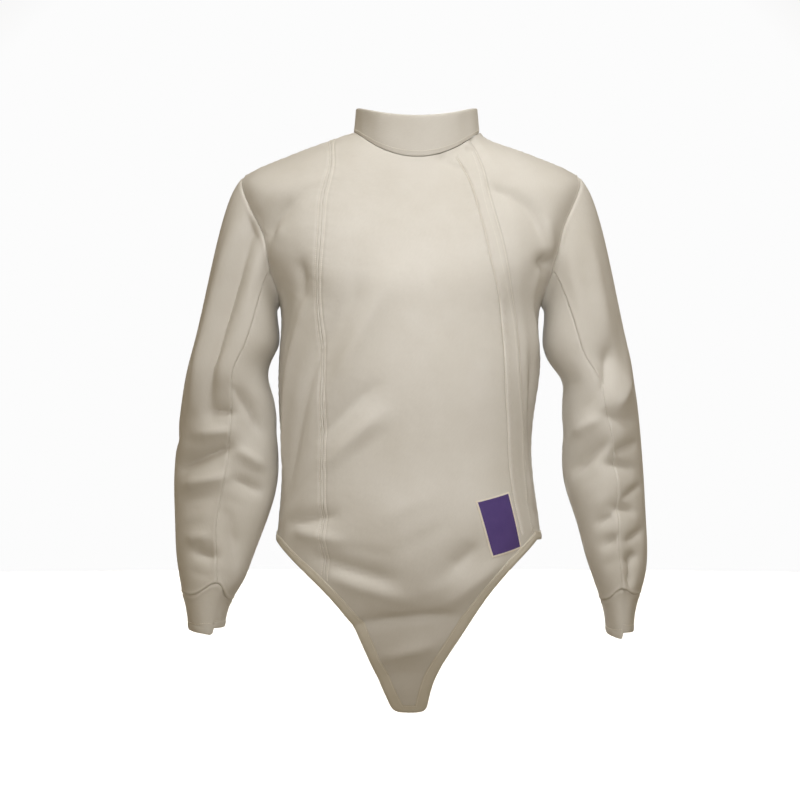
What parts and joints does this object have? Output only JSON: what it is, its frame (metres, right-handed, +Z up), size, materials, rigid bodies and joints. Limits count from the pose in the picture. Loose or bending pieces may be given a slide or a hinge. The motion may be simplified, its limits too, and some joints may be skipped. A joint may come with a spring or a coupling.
{
  "type": "fencing jacket",
  "caption": "Filled-out fencing jacket in heavy cloth with a stand collar, a side fly, long sleeves with cuffs, a short back and a tapering front tail bound at the hem.",
  "frame": {"origin": "middle of the neck opening, level with the top of the shoulder seams, where the wearer's neck holds the jacket", "axes": "+Z up; the wearer's front faces -Y and the wearer's left is +X"},
  "size_m": [0.6366, 0.2457, 0.8106],
  "materials": {
    "drill_cloth": "soft sateen weave",
    "hem_tape": "folded binding",
    "zip_tape": "woven tape",
    "woven_label": "woven, dense"
  },
  "bodies": {
    "root": {"back": "drill_cloth", "collar": "drill_cloth", "cuff_left": "drill_cloth", "cuff_right": "drill_cloth", "front": "drill_cloth", "front_side_left": "drill_cloth", "front_side_right": "drill_cloth", "hem_tape_back": "hem_tape", "hem_tape_front": "hem_tape", "label": "woven_label", "under_sleeve_left": "drill_cloth", "under_sleeve_right": "drill_cloth", "upper_sleeve_left": "drill_cloth", "upper_sleeve_right": "drill_cloth", "zip": "zip_tape"}
  },
  "joints": []
}
